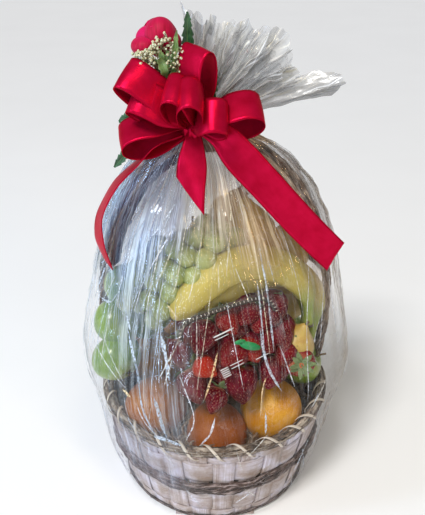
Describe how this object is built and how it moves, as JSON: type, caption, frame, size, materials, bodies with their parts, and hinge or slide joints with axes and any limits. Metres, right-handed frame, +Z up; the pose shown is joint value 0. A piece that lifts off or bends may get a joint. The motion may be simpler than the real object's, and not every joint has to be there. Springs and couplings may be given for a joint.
{
  "type": "fruit gift basket",
  "caption": "Round woven basket with an arched vine handle, filled with fruit, wrapped in gathered clear film and tied with a ribbon bow and a rose.",
  "frame": {"origin": "centre of the basket's flat base, on the surface it stands on", "axes": "+Z up, -Y towards the front with the bow, X along the span of the handle"},
  "size_m": [0.3474, 0.3215, 0.6353],
  "materials": {
    "whitewashed_chip": "whitewashed, matt, grain showing",
    "dark_twig": "rough bark",
    "bark_rim": "rough bark with pale lashings",
    "vine": "rough bark",
    "film": "clear, crinkled, glossy",
    "crimson_satin": "satin sheen",
    "rose_petal": "soft matt",
    "stem_green": "matt",
    "cream_florets": "matt",
    "leaf_green": "waxy",
    "citrus_peel": "pored, waxy",
    "green_peel": "smooth, waxy",
    "grape_skin": "translucent with bloom",
    "banana_peel": "smooth, a few brown marks",
    "pear_skin": "smooth, freckled",
    "berry_skin": "glossy, seeded",
    "clear_tub": "clear",
    "paper_filler": "crumpled"
  },
  "bodies": {
    "root": {"basket_body": "whitewashed_chip", "basket_band": "dark_twig", "basket_rim": "bark_rim", "handle": "vine", "wrap": "film", "bow": "crimson_satin", "rose": "rose_petal", "rose_stem": "stem_green", "babys_breath": "cream_florets", "leaf_upright": "leaf_green", "leaf_behind_bow": "leaf_green", "leaf_left": "leaf_green", "leaf_lower_left": "leaf_green"}
  },
  "joints": []
}
